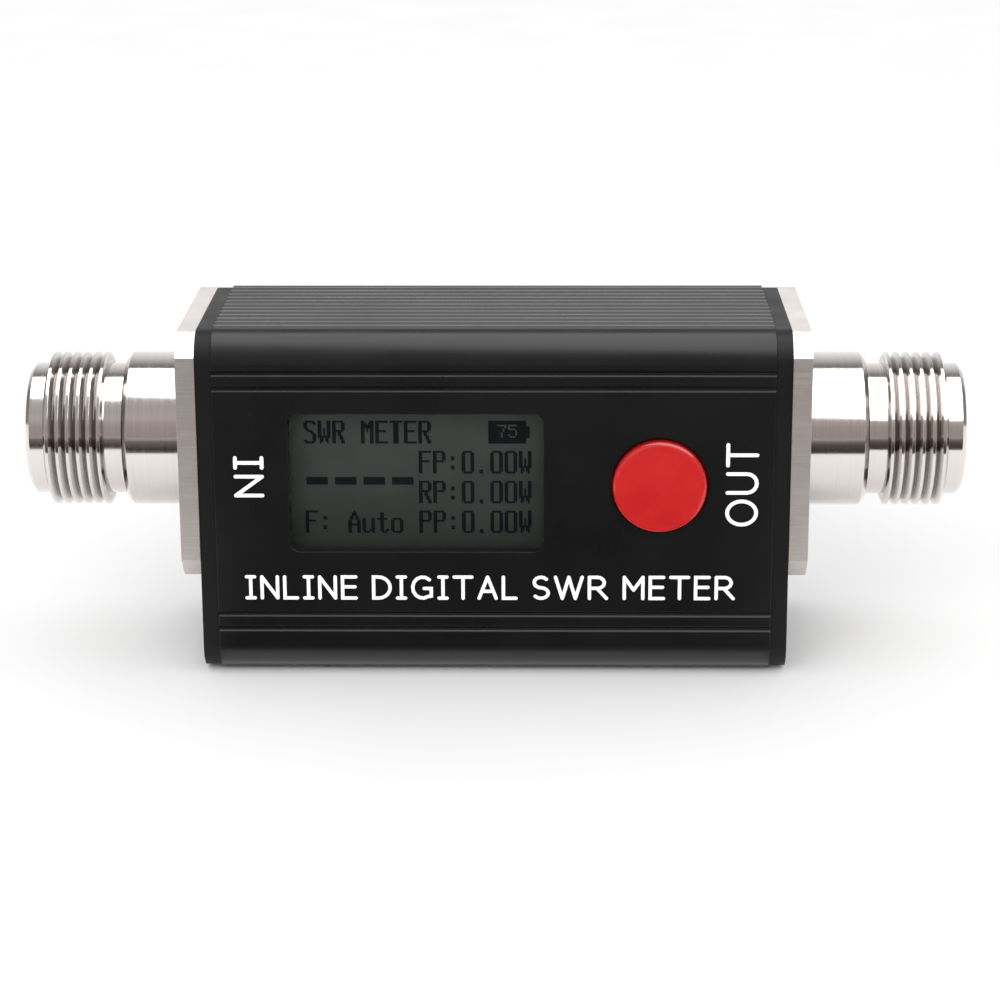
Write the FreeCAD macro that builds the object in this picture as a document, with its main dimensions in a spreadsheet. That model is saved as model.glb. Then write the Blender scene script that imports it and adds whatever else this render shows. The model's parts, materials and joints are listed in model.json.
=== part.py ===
"""An in-line SWR and power meter: a ribbed aluminium tube with a display and one push button,
closed by two end plates that each carry a square-flanged coaxial connector.

Frame: the origin is at the centre of the case's bottom face. +X runs from the input connector to the
output connector, +Y from the front panel to the back and +Z up. All sizes are in millimetres.
"""
import FreeCAD, Part
import os
import re
import Sketcher
from FreeCAD import Rotation, Vector

doc = FreeCAD.newDocument("swr_meter")

# ---------------------------------------------------------------- driving sizes

SIZES = [
    # case tube
    ("case_length", 56.2), ("case_depth", 25.4), ("case_height", 35.8), ("case_radius", 3.2), ("wall", 1.6),
    # fine ribs of the top and bottom faces, left standing between V grooves
    ("rib_pitch", 1.62), ("rib_groove_count", 13), ("rib_groove_width", 0.95), ("rib_groove_depth", 0.36),
    # paired lines of the front and back faces: V grooves too
    ("line_width", 0.6), ("line_depth", 0.32), ("line_pitch", 1.58), ("upper_line_drop", 4.05),
    ("lower_line_rise", 5.0),
    # screws, all of one size, and the channels of the tube that they bite into
    ("screw_radius", 1.25), ("screw_length", 8.0), ("screw_head_radius", 2.3), ("screw_slot_width", 0.6),
    ("screw_slot_length", 2.6), ("screw_slot_depth", 0.7), ("thread_clearance", 0.03),
    ("screw_hole_clearance", 0.15), ("channel_radius", 2.5), ("lower_screw_inset", 3.5),
    ("lower_screw_rise", 4.0),
    # end plates
    ("plate_thickness", 1.65), ("plate_inset", 0.2),
    # coaxial connectors, along their own axis from the flange's inner face
    ("axis_drop", 13.0), ("flange_side", 25.4), ("flange_thickness", 1.93), ("flange_chamfer", 2.2),
    ("flange_hole_spacing", 18.26), ("barrel_radius", 7.95), ("barrel_length", 6.45),
    ("barrel_chamfer", 0.5), ("neck_radius", 6.8), ("neck_length", 1.95), ("thread_radius", 7.9375),
    ("thread_pitch", 1.0583), ("thread_crests", 6), ("thread_depth", 0.62), ("crest_width", 0.3),
    ("thread_lead_in", 0.2), ("thread_run_out", 0.3),
    ("lip_radius", 6.8), ("lip_length", 1.9), ("lip_chamfer", 0.4), ("mouth_radius", 4.05),
    ("mouth_depth", 9.1), ("insulator_radius", 3.5), ("spigot_radius", 4.5), ("spigot_length", 3.6),
    ("spigot_clearance", 0.1), ("contact_radius", 1.52), ("contact_bore_radius", 0.85),
    ("contact_recess", 4.9), ("contact_bore_depth", 3.6), ("contact_slot_width", 0.35),
    ("contact_slot_length", 3.0), ("contact_chamfer", 0.25), ("tail_radius", 1.0), ("tail_length", 3.5),
    # window and glazing
    ("window_width", 25.6), ("window_height", 14.4), ("window_x", -7.8), ("window_drop", 15.4),
    ("window_radius", 1.0), ("tape_thickness", 0.1), ("glazing_thickness", 1.0), ("glazing_margin", 1.4),
    # display
    ("display_gap", 0.25), ("polariser_thickness", 0.15), ("polariser_margin", 0.6),
    ("glass_thickness", 0.7), ("glass_margin", 0.9), ("ledge_height", 3.6), ("chip_width", 14.0),
    ("chip_height", 1.6), ("chip_thickness", 0.4), ("backlight_thickness", 1.9), ("flex_width", 12.0),
    ("flex_thickness", 0.2), ("flex_pad", 1.2),
    # push button
    ("button_x", 16.65), ("button_drop", 15.6), ("button_radius", 4.72), ("button_gap", 0.23),
    ("button_stand", 0.85), ("button_edge_radius", 0.45), ("button_flange_width", 1.1),
    ("button_wall_gap", 0.25), ("button_flange_thickness", 0.55),
    # push switch behind the button
    ("switch_side", 6.0), ("switch_height", 3.1), ("switch_cover_thickness", 0.25),
    ("plunger_radius", 1.7), ("plunger_gap", 0.2), ("plunger_foot_radius", 2.15),
    ("plunger_foot_thickness", 0.4), ("plunger_foot_drop", 0.1), ("dome_radius", 2.25),
    ("dome_rise", 0.5), ("dome_thickness", 0.1), ("switch_well_radius", 2.45),
    ("switch_floor", 1.4), ("terminal_width", 0.7), ("terminal_length", 1.2),
    ("terminal_thickness", 0.3), ("terminal_spacing", 4.5),
    # circuit boards and the tube's guides that hold them
    ("board_thickness", 1.6), ("board_slot_clearance", 0.1), ("board_end_gap", 0.5),
    ("board_edge_gap", 0.3), ("guide_height", 1.2), ("guide_thickness", 1.0), ("coupler_end_gap", 2.5),
    # parts on the main board
    ("controller_side", 7.0), ("controller_thickness", 1.4), ("controller_x", -8.0),
    ("controller_rise", 20.0), ("small_chip_thickness", 1.1), ("crystal_length", 3.2),
    ("crystal_width", 2.5), ("crystal_thickness", 0.8), ("capacitor_length", 2.0),
    ("capacitor_width", 1.25), ("capacitor_thickness", 0.9),
    # charging socket
    ("socket_floor_gap", 0.3), ("socket_width", 7.5), ("socket_depth", 2.6), ("socket_length", 5.4),
    ("socket_wall", 0.25), ("socket_clearance", 0.3), ("socket_recess", 0.25), ("tongue_width", 4.6),
    ("tongue_thickness", 0.7), ("tongue_recess", 0.8),
    # battery
    ("battery_length", 38.0), ("battery_height", 20.0), ("battery_thickness", 5.4),
    ("battery_radius", 1.6), ("battery_rise", 8.0), ("pad_thickness", 0.8), ("pad_margin", 2.0),
    ("protection_length", 2.4), ("protection_margin", 3.0), ("lead_radius", 0.45), ("lead_spacing", 1.6),
    ("lead_bend_radius", 1.3), ("lead_rise", 15.6), ("lead_turn_gap", 2.3), ("plug_length", 4.0),
    ("plug_width", 4.8), ("plug_thickness", 2.4), ("plug_wall", 0.5), ("plug_clearance", 0.05),
    # directional coupler
    ("line_gap", 0.05), ("through_width", 2.4), ("sense_offset", 2.6), ("sense_width", 0.9),
    ("sense_thickness", 0.1), ("sense_length", 30.0), ("sense_foot", 3.2), ("resistor_length", 3.2),
    ("resistor_width", 1.6), ("resistor_thickness", 0.6), ("diode_length", 2.9), ("diode_width", 1.3),
    ("diode_thickness", 1.1),
    # link between the two boards
    ("link_pin_count", 6), ("link_pitch", 2.0), ("link_rise", 8.0), ("link_width", 2.2),
    ("link_housing_thickness", 2.0), ("link_pin_side", 0.5),
]

sheet = doc.addObject("Spreadsheet::Sheet", "dims")
for row, (size_name, size_value) in enumerate(SIZES, start=1):
    sheet.set(f"A{row}", size_name)
    sheet.set(f"B{row}", str(size_value))
    sheet.setAlias(f"B{row}", size_name)
doc.recompute()
NAMES = {size_name for size_name, _ in SIZES}


def bound(text):
    """The text with each size's name written as the sheet's cell, ready for setExpression."""
    return re.sub(r"[a-z_]+", lambda word: f"dims.{word[0]}" if word[0] in NAMES else word[0], str(text))


def value(text):
    """What an expression comes to now."""
    return float(sheet.evalExpression(bound(text)))


# ---------------------------------------------------------------- places worked out from the sizes

FRONT = "(-case_depth / 2)"
BACK = "(case_depth / 2)"
FRONT_INNER = f"({FRONT} + wall)"
BACK_INNER = f"({BACK} - wall)"
FLOOR_INNER = "wall"
ROOF_INNER = "(case_height - wall)"
TUBE_END = "(case_length / 2)"
PLATE_OUTER = f"({TUBE_END} + plate_thickness)"
AXIS_Z = "(case_height - axis_drop)"
SOCKET_Z = "(wall + socket_floor_gap + socket_width / 2)"

GLAZING_FRONT = f"({FRONT_INNER} + tape_thickness)"
GLAZING_BACK = f"({GLAZING_FRONT} + glazing_thickness)"
POLARISER_FRONT = f"({GLAZING_BACK} + display_gap)"
FRONT_GLASS_FRONT = f"({POLARISER_FRONT} + polariser_thickness)"
REAR_GLASS_FRONT = f"({FRONT_GLASS_FRONT} + glass_thickness)"
BACKLIGHT_FRONT = f"({REAR_GLASS_FRONT} + glass_thickness)"
MAIN_FRONT = f"({BACKLIGHT_FRONT} + backlight_thickness)"
MAIN_BACK = f"({MAIN_FRONT} + board_thickness)"
WINDOW_Z = "(case_height - window_drop)"
WINDOW_X = ("(window_x - window_width / 2)", "(window_x + window_width / 2)")
WINDOW_SPAN_Z = (f"({WINDOW_Z} - window_height / 2)", f"({WINDOW_Z} + window_height / 2)")

BUTTON_Z = "(case_height - button_drop)"
BUTTON_FRONT = f"({FRONT} - button_stand)"
BUTTON_FLANGE_FRONT = f"({FRONT_INNER} + button_wall_gap)"
BUTTON_FLANGE_BACK = f"({BUTTON_FLANGE_FRONT} + button_flange_thickness)"
SWITCH_FRONT = f"({MAIN_FRONT} - switch_height)"
COVER_FRONT = f"({SWITCH_FRONT} - switch_cover_thickness)"
PLUNGER_FOOT_FRONT = f"({SWITCH_FRONT} + plunger_foot_drop)"
PLUNGER_BACK = f"({PLUNGER_FOOT_FRONT} + plunger_foot_thickness)"
WELL_BACK = f"({MAIN_FRONT} - switch_floor)"

COUPLER_FRONT = "(tail_radius + line_gap)"
COUPLER_BACK = f"({COUPLER_FRONT} + board_thickness)"
COUPLER_END = f"({TUBE_END} - coupler_end_gap)"
LINE_END = f"({PLATE_OUTER} - spigot_length - tail_length)"
BOARD_SPAN_Z = (f"({FLOOR_INNER} + board_edge_gap)", f"({ROOF_INNER} - board_edge_gap)")

BATTERY_BACK = f"({BACK_INNER} - pad_thickness)"
BATTERY_FRONT = f"({BATTERY_BACK} - battery_thickness)"
BATTERY_TOP = "(battery_rise + battery_height)"

# places across the connector's axis, as (y, z) offsets from it, of the four flange holes
FLANGE_CORNERS = [(y_sign, z_sign) for y_sign in (-1, 1) for z_sign in (-1, 1)]
SIDES = {"input": -1, "output": 1}


# ---------------------------------------------------------------- how pieces are made

def span(side, near, far):
    """The x span from near to far of the middle, on the input (-1) or output (1) side."""
    return (near, far) if side > 0 else (f"-({far})", f"-({near})")


def around(centre, size):
    """The span of a size, centred."""
    return f"{centre} - {size} / 2", f"{centre} + {size} / 2"


def place(thing, x="0", y="0", z="0", turn=None):
    """Bind the position of a thing, turned first if a rotation is given."""
    if turn:
        thing.Placement.Rotation = turn
    for axis, text in zip("xyz", (x, y, z)):
        thing.setExpression(f"Placement.Base.{axis}", bound(text))
    return thing


def box(name, x, y, z):
    """A block that fills three spans, each a pair of expressions."""
    block = doc.addObject("Part::Box", name)
    for side, (low, high) in zip(("Length", "Width", "Height"), (x, y, z)):
        block.setExpression(side, bound(f"({high}) - ({low})"))
    return place(block, x[0], y[0], z[0])


TURNS = {"x": Rotation(Vector(0, 1, 0), 90), "y": Rotation(Vector(1, 0, 0), -90)}


def rod(name, axis, start, length, radius, x="0", y="0", z="0"):
    """A cylinder along X or Y that begins at start."""
    cylinder = doc.addObject("Part::Cylinder", name)
    cylinder.setExpression("Height", bound(length))
    cylinder.setExpression("Radius", bound(radius))
    where = {"x": x, "y": y, "z": z, axis: start}
    return place(cylinder, where["x"], where["y"], where["z"], TURNS[axis])


def cut(name, base, tools):
    """The base with the tools taken out of it."""
    result = doc.addObject("Part::Cut", name)
    result.Base = base
    result.Tool = tools[0] if len(tools) == 1 else group(f"{name}_cutters", tools)
    return result


def group(name, pieces):
    """Separate solids in one object."""
    result = doc.addObject("Part::Compound", name)
    result.Links = pieces
    return result


def fuse(name, pieces):
    result = doc.addObject("Part::MultiFuse", name)
    result.Shapes = pieces
    return result


def rounded(name, base, radius, direction):
    """The base with its edges along one direction rounded."""
    doc.recompute()
    result = doc.addObject("Part::Fillet", name)
    result.Base = base
    size = value(radius)
    result.Edges = [(int(edge[4:]), size, size) for edge in edges_along(base.Shape, direction)]
    return result


def edges_along(shape, direction, test=lambda edge: True):
    """Names of the straight edges along a direction that pass a test."""
    names = []
    for number, edge in enumerate(shape.Edges, start=1):
        if not isinstance(edge.Curve, Part.Line):
            continue
        if abs(edge.Curve.Direction.dot(direction)) > 0.999 and test(edge):
            names.append(f"Edge{number}")
    return names


def circles_at(shape, x, near_points):
    """Names of the circular edges in the plane across X whose centres are at (y, z) points."""
    names = []
    for number, edge in enumerate(shape.Edges, start=1):
        if not isinstance(edge.Curve, Part.Circle) or abs(edge.Curve.Center.x - x) > 0.01:
            continue
        centre = edge.Curve.Center
        if any(abs(centre.y - y) < 0.01 and abs(centre.z - z) < 0.01 for y, z in near_points):
            names.append(f"Edge{number}")
    return names


def new_body(name):
    return doc.addObject("PartDesign::Body", name)


def new_sketch(body, name, plane):
    """A sketch on one of the body's own origin planes: XY_Plane, XZ_Plane or YZ_Plane."""
    sketch = body.newObject("Sketcher::SketchObject", name)
    own_plane = next(feature for feature in body.Origin.OriginFeatures if feature.Role == plane)
    sketch.AttachmentSupport = [(own_plane, "")]
    sketch.MapMode = "FlatFace"
    return sketch


def pin_point(sketch, element, point, across, up):
    """Tie a point to the sketch's origin with two bound distances."""
    for kind, text in (("DistanceX", across), ("DistanceY", up)):
        tie = sketch.addConstraint(Sketcher.Constraint(kind, -1, 1, element, point, value(text)))
        sketch.setExpression(f"Constraints[{tie}]", bound(text))


def outline(sketch, points):
    """A closed outline of straight lines through points, each a pair of expressions."""
    corners = [Vector(value(across), value(up), 0) for across, up in points]
    count = len(points)
    first = sketch.GeometryCount
    for number in range(count):
        sketch.addGeometry(Part.LineSegment(corners[number], corners[(number + 1) % count]))
    for number in range(count):
        following = first + (number + 1) % count
        sketch.addConstraint(Sketcher.Constraint("Coincident", first + number, 2, following, 1))
    for number, (across, up) in enumerate(points):
        pin_point(sketch, first + number, 1, across, up)


def rectangle(sketch, across, up):
    """A closed rectangle over two spans."""
    outline(sketch, [(across[0], up[0]), (across[1], up[0]), (across[1], up[1]), (across[0], up[1])])


def circle(sketch, across, up, radius):
    centre = Vector(value(across), value(up), 0)
    element = sketch.addGeometry(Part.Circle(centre, Vector(0, 0, 1), value(radius)))
    pin_point(sketch, element, 3, across, up)
    size = sketch.addConstraint(Sketcher.Constraint("Radius", element, value(radius)))
    sketch.setExpression(f"Constraints[{size}]", bound(radius))


def pad(body, sketch, length, midplane=False):
    feature = body.newObject("PartDesign::Pad", f"{sketch.Name}_pad")
    feature.Profile = sketch
    feature.setExpression("Length", bound(length))
    feature.Midplane = midplane
    return feature


def pocket_through(body, sketch, midplane=True, reverse=False):
    """Cut the sketch's outlines right through, both ways or one way only."""
    feature = body.newObject("PartDesign::Pocket", f"{sketch.Name}_pocket")
    feature.Profile = sketch
    feature.Type = "ThroughAll"
    feature.Midplane = midplane
    feature.Reversed = reverse
    return feature


def revolve(body, sketch, axis):
    """Turn the sketch's outline a full circle about its H_Axis or V_Axis."""
    feature = body.newObject("PartDesign::Revolution", f"{sketch.Name}_revolution")
    feature.Profile = sketch
    feature.ReferenceAxis = (sketch, [axis])
    feature.Angle = 360
    return feature


def dress(body, kind, base, edges, size):
    """A PartDesign fillet or chamfer of named edges."""
    feature = body.newObject(f"PartDesign::{kind}", f"{base.Name}_{kind.lower()}")
    feature.Base = (base, edges)
    feature.setExpression("Radius" if kind == "Fillet" else "Size", bound(size))
    return feature


# ---------------------------------------------------------------- case

def screw_places():
    """The (y, z) places of the tube's screw channels: two upper flange holes and two lower corners."""
    upper_z = f"({AXIS_Z} + flange_hole_spacing / 2)"
    upper = [(f"{sign} * flange_hole_spacing / 2", upper_z) for sign in (-1, 1)]
    lower = [(f"{sign} * (case_depth / 2 - lower_screw_inset)", "lower_screw_rise") for sign in (-1, 1)]
    return upper, lower


def v_groove(sketch, face, tip, middle, width, across):
    """A V groove's outline, width wide at the face. It runs past the face by its own depth.

    An across groove lies on a front or back face and the others on a top or bottom face.
    """
    outer = f"(2 * {face} - {tip})"
    points = [(outer, f"{middle} - {width}"), (tip, middle), (outer, f"{middle} + {width}")]
    outline(sketch, points if across else [point[::-1] for point in points])


def case_tube():
    body = new_body("case_tube")
    profile = new_sketch(body, "case_profile", "YZ_Plane")
    rectangle(profile, (FRONT, BACK), ("0", "case_height"))
    solid = pad(body, profile, "case_length", midplane=True)
    doc.recompute()
    along = Vector(1, 0, 0)
    rounded_solid = dress(body, "Fillet", solid, edges_along(solid.Shape, along), "case_radius")
    doc.recompute()

    cavity = new_sketch(body, "case_cavity", "YZ_Plane")
    rectangle(cavity, (FRONT_INNER, BACK_INNER), (FLOOR_INNER, ROOF_INNER))
    hollow = pocket_through(body, cavity)
    doc.recompute()
    inner = edges_along(hollow.Shape, along, lambda edge: inside_cavity(edge.CenterOfMass))
    dress(body, "Fillet", hollow, inner, "case_radius - wall")

    upper, lower = screw_places()
    channels = new_sketch(body, "case_channels", "YZ_Plane")
    for y, z in upper + lower:
        circle(channels, y, z, "channel_radius")
    pad(body, channels, "case_length", midplane=True)

    guides = new_sketch(body, "case_guides", "YZ_Plane")
    for board_front, board_back in ((MAIN_FRONT, MAIN_BACK), (COUPLER_FRONT, COUPLER_BACK)):
        before = (f"{board_front} - board_slot_clearance - guide_thickness",
                  f"{board_front} - board_slot_clearance")
        behind = (f"{board_back} + board_slot_clearance",
                  f"{board_back} + board_slot_clearance + guide_thickness")
        for guide in (before, behind):
            rectangle(guides, guide, (f"{FLOOR_INNER} - wall / 2", f"{FLOOR_INNER} + guide_height"))
            rectangle(guides, guide, (f"{ROOF_INNER} - guide_height", f"{ROOF_INNER} + wall / 2"))
    pad(body, guides, "case_length", midplane=True)

    # the guide behind the main board stops short of the charging socket
    notch = new_sketch(body, "case_socket_notch", "XY_Plane")
    notch.setExpression("AttachmentOffset.Base.z", bound(FLOOR_INNER))
    rectangle(notch, (f"-{TUBE_END}", f"-{TUBE_END} + socket_length + socket_clearance"),
              (MAIN_BACK, f"{MAIN_BACK} + socket_depth + socket_clearance"))
    clearing = body.newObject("PartDesign::Pocket", "case_socket_notch_pocket")
    clearing.Profile = notch
    clearing.Reversed = True
    clearing.setExpression("Length", bound("guide_height"))

    holes = new_sketch(body, "case_screw_holes", "YZ_Plane")
    for y, z in upper + lower:
        circle(holes, y, z, "screw_radius + thread_clearance")
    pocket_through(body, holes)

    openings = new_sketch(body, "case_window", "XZ_Plane")
    rectangle(openings, WINDOW_X, WINDOW_SPAN_Z)
    window = pocket_through(body, openings, midplane=False, reverse=True)
    doc.recompute()
    through_wall = edges_along(window.Shape, Vector(0, 1, 0), at_window_corner)
    dress(body, "Fillet", window, through_wall, "window_radius")

    button_hole = new_sketch(body, "case_button_hole", "XZ_Plane")
    circle(button_hole, "button_x", BUTTON_Z, "button_radius + button_gap")
    pocket_through(body, button_hole, midplane=False, reverse=True)

    lines = new_sketch(body, "case_lines", "YZ_Plane")
    for place_z in ("case_height - upper_line_drop", "case_height - upper_line_drop - line_pitch",
                    "lower_line_rise", "lower_line_rise + line_pitch"):
        v_groove(lines, FRONT, f"({FRONT} + line_depth)", place_z, "line_width", across=True)
        v_groove(lines, BACK, f"({BACK} - line_depth)", place_z, "line_width", across=True)
    pocket_through(body, lines)

    rib_grooves(body, "top", "case_height", "(case_height - rib_groove_depth)", "rib_groove_count")
    # one groove fewer below, so that the case rests on a land along its middle
    rib_grooves(body, "bottom", "0", "rib_groove_depth", "(rib_groove_count - 1)")
    return place(body)


def rib_grooves(body, label, face, tip, count):
    """A row of V grooves along the top or bottom face, centred on it."""
    sketch = new_sketch(body, f"case_{label}_ribs", "YZ_Plane")
    first = f"(-rib_pitch * ({count} - 1) / 2)"
    v_groove(sketch, face, tip, first, "rib_groove_width", across=False)
    first_groove = pocket_through(body, sketch)
    pattern = body.newObject("PartDesign::LinearPattern", f"case_{label}_rib_pattern")
    pattern.Originals = [first_groove]
    pattern.Direction = (sketch, ["H_Axis"])
    pattern.setExpression("Length", bound(f"rib_pitch * ({count} - 1)"))
    pattern.setExpression("Occurrences", bound(count))
    body.Tip = pattern


def inside_cavity(point):
    """Whether a point lies on the cavity's walls rather than on the outside of the tube."""
    across = abs(point.y) < value(BACK_INNER) + 0.01
    return across and value(FLOOR_INNER) - 0.01 < point.z < value(ROOF_INNER) + 0.01


def at_window_corner(edge):
    """Whether an edge is a corner of the window."""
    point = edge.CenterOfMass
    return any(abs(point.x - value(x)) < 0.01 for x in WINDOW_X) and any(
        abs(point.z - value(z)) < 0.01 for z in WINDOW_SPAN_Z)


def end_plate(side_name):
    """A plate that closes the tube. The input one also lets the charging socket out."""
    side = SIDES[side_name]
    body = new_body(f"{side_name}_end_plate")
    profile = new_sketch(body, f"{side_name}_plate_profile", "YZ_Plane")
    rectangle(profile, (f"{FRONT} + plate_inset", f"{BACK} - plate_inset"),
              ("plate_inset", "case_height - plate_inset"))
    solid = pad(body, profile, "plate_thickness")
    doc.recompute()
    dress(body, "Fillet", solid, edges_along(solid.Shape, Vector(1, 0, 0)), "case_radius - plate_inset")

    holes = new_sketch(body, f"{side_name}_plate_holes", "YZ_Plane")
    circle(holes, "0", AXIS_Z, "spigot_radius + spigot_clearance")
    for y_sign, z_sign in FLANGE_CORNERS:
        # the upper screws pass through into the tube's channels and the lower ones bite into the plate
        gap = "screw_hole_clearance" if z_sign > 0 else "thread_clearance"
        circle(holes, f"{y_sign} * flange_hole_spacing / 2",
               f"{AXIS_Z} + {z_sign} * flange_hole_spacing / 2", f"screw_radius + {gap}")
    lower = screw_places()[1]
    for y, z in lower:
        circle(holes, y, z, "screw_radius + screw_hole_clearance")
    bored = pocket_through(body, holes)
    doc.recompute()
    rims = circles_at(bored.Shape, value("plate_thickness"), [(value(y), value(z)) for y, z in lower])
    dress(body, "Chamfer", bored, rims, "screw_head_radius - screw_radius")

    if side_name == "input":
        slot = new_sketch(body, "input_plate_socket_slot", "YZ_Plane")
        # the plate is turned half round, so its own y runs the other way
        rectangle(slot, (f"-{MAIN_BACK} - socket_depth - socket_clearance",
                         f"-{MAIN_BACK} + socket_clearance"),
                  around(SOCKET_Z, "socket_width + 2 * socket_clearance"))
        pocket_through(body, slot)
    turn = Rotation(Vector(0, 0, 1), 0 if side > 0 else 180)
    return place(body, x=f"{side} * {TUBE_END}", turn=turn)


def screw(name, side, x, y, z):
    """A countersunk cross-head screw with its head flush at x, pointing inwards."""
    inward = -side
    head_depth = "(screw_head_radius - screw_radius)"
    shank = rod(f"{name}_shank", "x", f"{x} - screw_length" if side > 0 else x, "screw_length",
                "screw_radius", y=y, z=z)
    head = doc.addObject("Part::Cone", f"{name}_head")
    head.setExpression("Radius1", bound("screw_head_radius"))
    head.setExpression("Radius2", bound("screw_radius"))
    head.setExpression("Height", bound(head_depth))
    place(head, x, y, z, Rotation(Vector(0, 1, 0), 90 * inward))
    reach = span(side, f"{side} * ({x}) - screw_slot_depth", f"{side} * ({x}) + wall")
    slots = [box(f"{name}_slot_{label}", reach, around(y, wide), around(z, high))
             for label, wide, high in (("across", "screw_slot_length", "screw_slot_width"),
                                       ("upright", "screw_slot_width", "screw_slot_length"))]
    return cut(name, fuse(f"{name}_blank", [shank, head]), slots)


def screws(side_name):
    """The four flange screws and the two lower plate screws of one end."""
    side = SIDES[side_name]
    flange_outer = f"{side} * ({PLATE_OUTER} + flange_thickness)"
    flange = [screw(f"{side_name}_flange_screw_{number}", side, flange_outer,
                    f"{y_sign} * flange_hole_spacing / 2", f"{AXIS_Z} + {z_sign} * flange_hole_spacing / 2")
              for number, (y_sign, z_sign) in enumerate(FLANGE_CORNERS)]
    plate = [screw(f"{side_name}_plate_screw_{number}", side, f"{side} * {PLATE_OUTER}", y, z)
             for number, (y, z) in enumerate(screw_places()[1])]
    return [group(f"{side_name}_flange_screws", flange), group(f"{side_name}_plate_screws", plate)]


# ---------------------------------------------------------------- coaxial connectors

BARREL_END = "(flange_thickness + barrel_length)"
THREAD_START = f"({BARREL_END} + neck_length)"
FIRST_CREST = f"({THREAD_START} + thread_lead_in)"
LAST_CREST_END = f"({FIRST_CREST} + (thread_crests - 1) * thread_pitch + crest_width)"
THREAD_END = f"({LAST_CREST_END} + thread_run_out)"
LIP_END = f"({THREAD_END} + lip_length)"
REFERENCE_PLANE = f"({LIP_END} - mouth_depth)"
CONTACT_TIP = f"({LIP_END} - contact_recess)"


def thread_outline():
    """The ridges of the coupling thread, each with a flat crest, from the neck to the lip."""
    root = "(thread_radius - thread_depth)"
    points = [(THREAD_START, root)]
    for crest in range(int(value("thread_crests"))):
        start = f"({FIRST_CREST} + {crest} * thread_pitch)"
        points.append((start, "thread_radius"))
        points.append((f"({start} + crest_width)", "thread_radius"))
        if crest < int(value("thread_crests")) - 1:
            points.append((f"({start} + crest_width + (thread_pitch - crest_width) / 2)", root))
    points.append((THREAD_END, root))
    return points


def at_connector(thing, side_name):
    """Put a piece drawn along +X from the flange's inner face at one end of the case."""
    side = SIDES[side_name]
    turn = Rotation(Vector(0, 0, 1), 0 if side > 0 else 180)
    return place(thing, x=f"{side} * {PLATE_OUTER}", z=AXIS_Z, turn=turn)


def connector_body(side_name):
    """Square flange, barrel, neck, coupling thread and lip, bored for the insulator and the mating plug."""
    body = new_body(f"{side_name}_connector_body")
    flange = new_sketch(body, f"{side_name}_flange", "YZ_Plane")
    rectangle(flange, around("0", "flange_side"), around("0", "flange_side"))
    plate = pad(body, flange, "flange_thickness")
    doc.recompute()
    dress(body, "Chamfer", plate, edges_along(plate.Shape, Vector(1, 0, 0)), "flange_chamfer")

    shape = new_sketch(body, f"{side_name}_barrel", "XY_Plane")
    outline(shape, [
        ("-spigot_length", "insulator_radius"), ("-spigot_length", "spigot_radius"),
        ("flange_thickness / 2", "spigot_radius"), ("flange_thickness / 2", "barrel_radius"),
        (f"{BARREL_END} - barrel_chamfer", "barrel_radius"), (BARREL_END, "barrel_radius - barrel_chamfer"),
        (BARREL_END, "neck_radius"), (THREAD_START, "neck_radius"),
        *thread_outline(),
        (THREAD_END, "lip_radius"), (f"{LIP_END} - lip_chamfer", "lip_radius"),
        (LIP_END, "lip_radius - lip_chamfer"), (LIP_END, "mouth_radius + lip_chamfer"),
        (f"{LIP_END} - lip_chamfer", "mouth_radius"), (REFERENCE_PLANE, "mouth_radius"),
        (REFERENCE_PLANE, "insulator_radius"),
    ])
    revolve(body, shape, "H_Axis")

    holes = new_sketch(body, f"{side_name}_flange_holes", "YZ_Plane")
    circle(holes, "0", "0", "insulator_radius")
    for y_sign, z_sign in FLANGE_CORNERS:
        circle(holes, f"{y_sign} * flange_hole_spacing / 2", f"{z_sign} * flange_hole_spacing / 2",
               "screw_radius + screw_hole_clearance")
    bored = pocket_through(body, holes)
    doc.recompute()
    corner = value("flange_hole_spacing / 2")
    rims = circles_at(bored.Shape, value("flange_thickness"),
                      [(y_sign * corner, z_sign * corner) for y_sign, z_sign in FLANGE_CORNERS])
    dress(body, "Chamfer", bored, rims, "screw_head_radius - screw_radius")
    return at_connector(body, side_name)


def connector_insulator(side_name):
    body = new_body(f"{side_name}_connector_insulator")
    shape = new_sketch(body, f"{side_name}_insulator_shape", "XY_Plane")
    rectangle(shape, ("-spigot_length", REFERENCE_PLANE), ("tail_radius", "insulator_radius"))
    revolve(body, shape, "H_Axis")
    return at_connector(body, side_name)


def connector_contact(side_name):
    """The centre contact: a slotted sleeve in front and a solder tail behind."""
    body = new_body(f"{side_name}_connector_contact")
    shape = new_sketch(body, f"{side_name}_contact_shape", "XY_Plane")
    bore_bottom = f"({CONTACT_TIP} - contact_bore_depth)"
    outline(shape, [
        ("-spigot_length - tail_length", "0"), ("-spigot_length - tail_length", "tail_radius"),
        (REFERENCE_PLANE, "tail_radius"), (REFERENCE_PLANE, "contact_radius"),
        (f"{CONTACT_TIP} - contact_chamfer", "contact_radius"),
        (CONTACT_TIP, "contact_radius - contact_chamfer"), (CONTACT_TIP, "contact_bore_radius"),
        (bore_bottom, "contact_bore_radius"), (bore_bottom, "0"),
    ])
    revolve(body, shape, "H_Axis")
    for plane in ("XY_Plane", "XZ_Plane"):
        slot = new_sketch(body, f"{side_name}_contact_slot_{plane[:2]}", plane)
        rectangle(slot, (f"{CONTACT_TIP} - contact_slot_length", f"{CONTACT_TIP} + contact_chamfer"),
                  around("0", "contact_slot_width"))
        pocket_through(body, slot)
    return at_connector(body, side_name)


# ---------------------------------------------------------------- window and display

def spread(pair, margin):
    """A span made longer by a margin at both ends."""
    return f"{pair[0]} - {margin}", f"{pair[1]} + {margin}"


def window_glazing():
    return box("window_glazing", spread(WINDOW_X, "glazing_margin"), (GLAZING_FRONT, GLAZING_BACK),
               spread(WINDOW_SPAN_Z, "glazing_margin"))


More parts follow.
